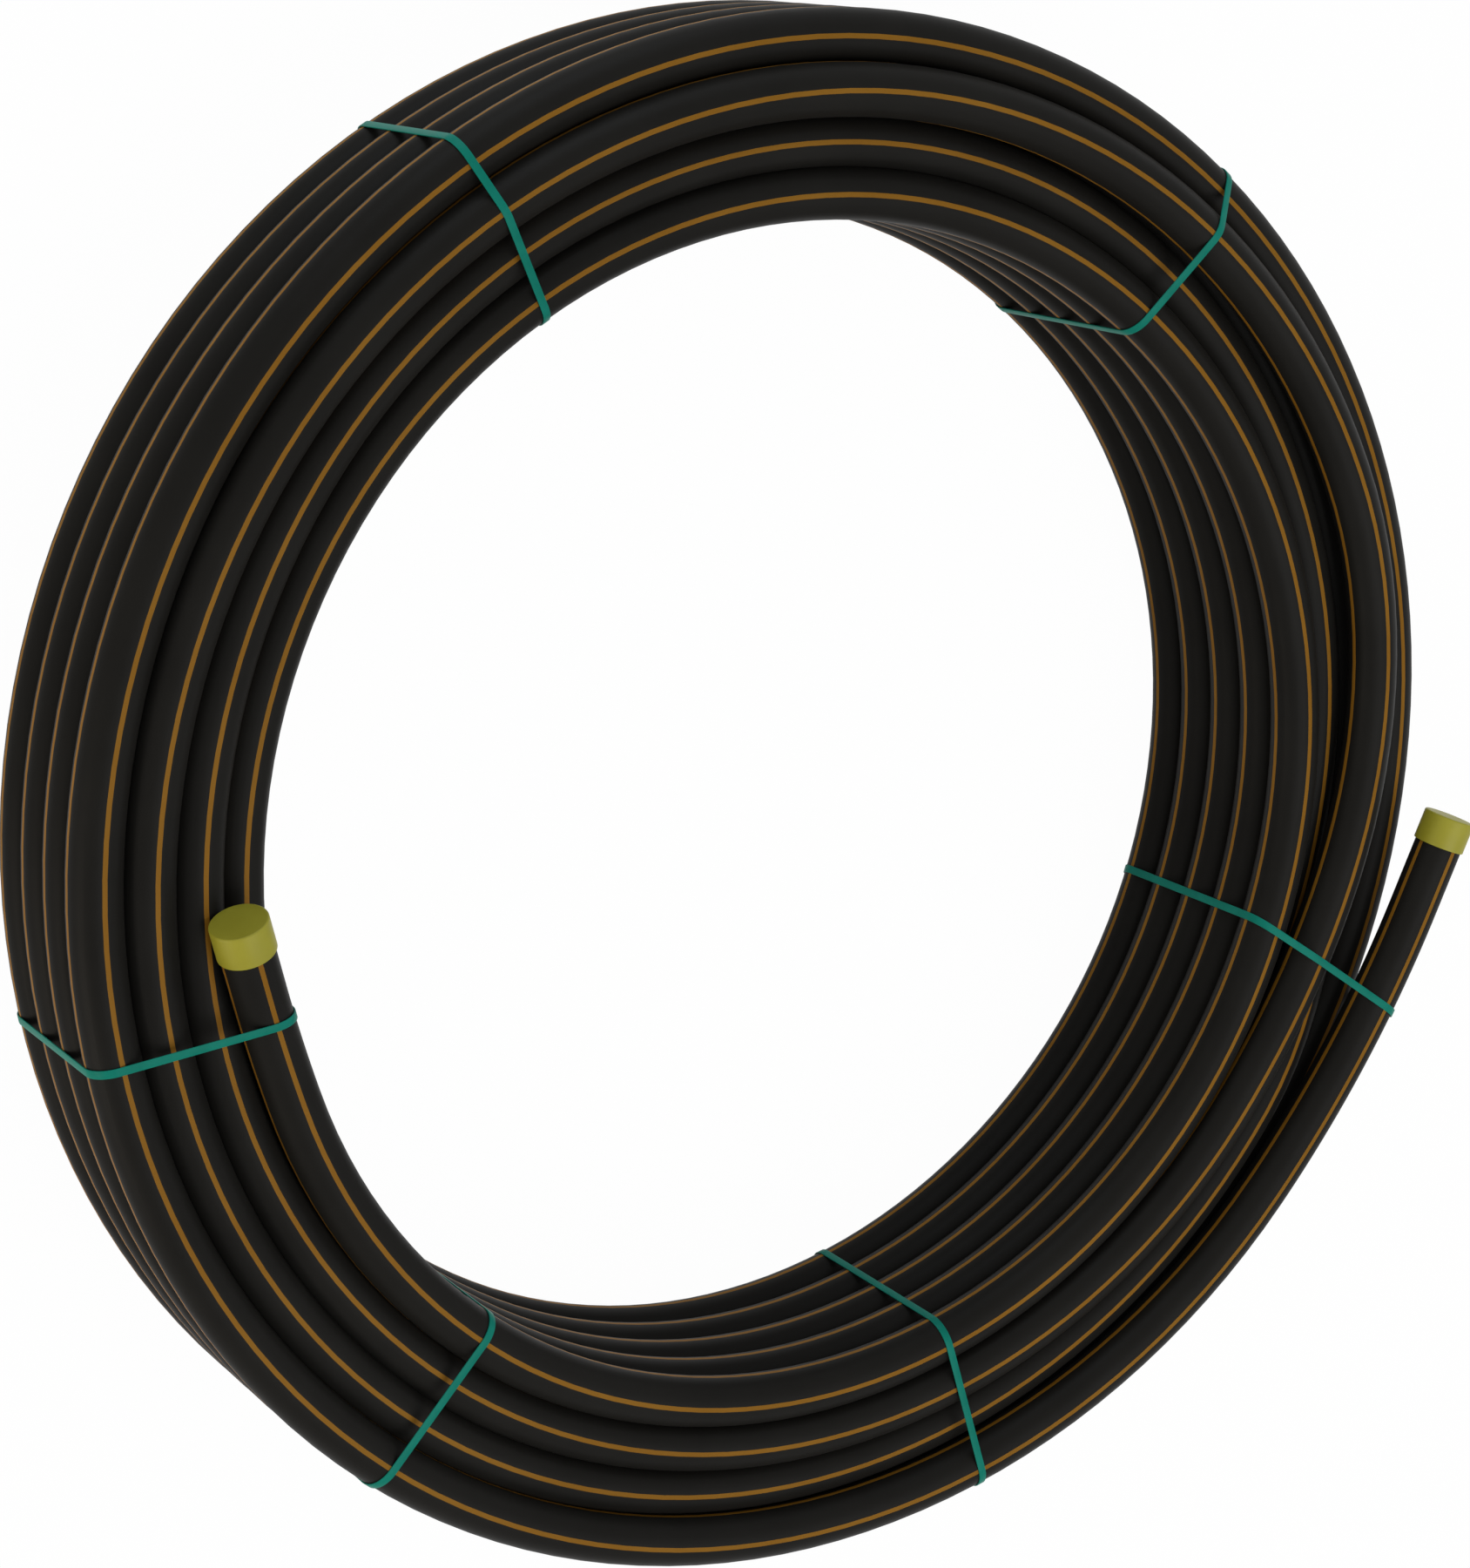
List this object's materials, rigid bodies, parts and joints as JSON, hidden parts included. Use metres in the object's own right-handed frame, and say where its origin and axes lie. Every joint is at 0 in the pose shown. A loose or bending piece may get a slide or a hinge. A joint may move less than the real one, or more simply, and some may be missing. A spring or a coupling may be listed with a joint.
{
  "type": "irrigation hose coil",
  "caption": "Coil of striped polyethylene irrigation hose, wound in four layers, tied with straps, with a push-on cap on each end.",
  "frame": {"origin": "on the coil's axis, level with the undersides of the straps that it lies on", "axes": "+Z along the coil's axis, up from the floor, towards the side where both hose ends lie; +X towards the side where the outer end points away from the coil"},
  "size_m": [0.9885, 0.966, 0.2123],
  "materials": {
    "hose": "satin black polyethylene with narrow orange-brown stripes",
    "strap": "satin teal-green strapping",
    "cap": "satin olive-yellow plastic"
  },
  "bodies": {
    "coil": {"hose_coil": "hose", "hose_inner_end": "hose", "hose_outer_end": "hose", "strap_1": "strap", "strap_2": "strap", "strap_3": "strap", "strap_4": "strap", "strap_5": "strap", "strap_6": "strap"},
    "inner_cap": {"inner_cap": "cap"},
    "outer_cap": {"outer_cap": "cap"}
  },
  "joints": [
    {"name": "inner_cap_pull", "type": "slide", "parent": "coil", "child": "inner_cap", "axis": [-0.4079, 0.891, 0.1994], "range_m": [0, 0.06]},
    {"name": "outer_cap_pull", "type": "slide", "parent": "coil", "child": "outer_cap", "axis": [0.2261, 0.9691, 0.0987], "range_m": [0, 0.06]}
  ]
}
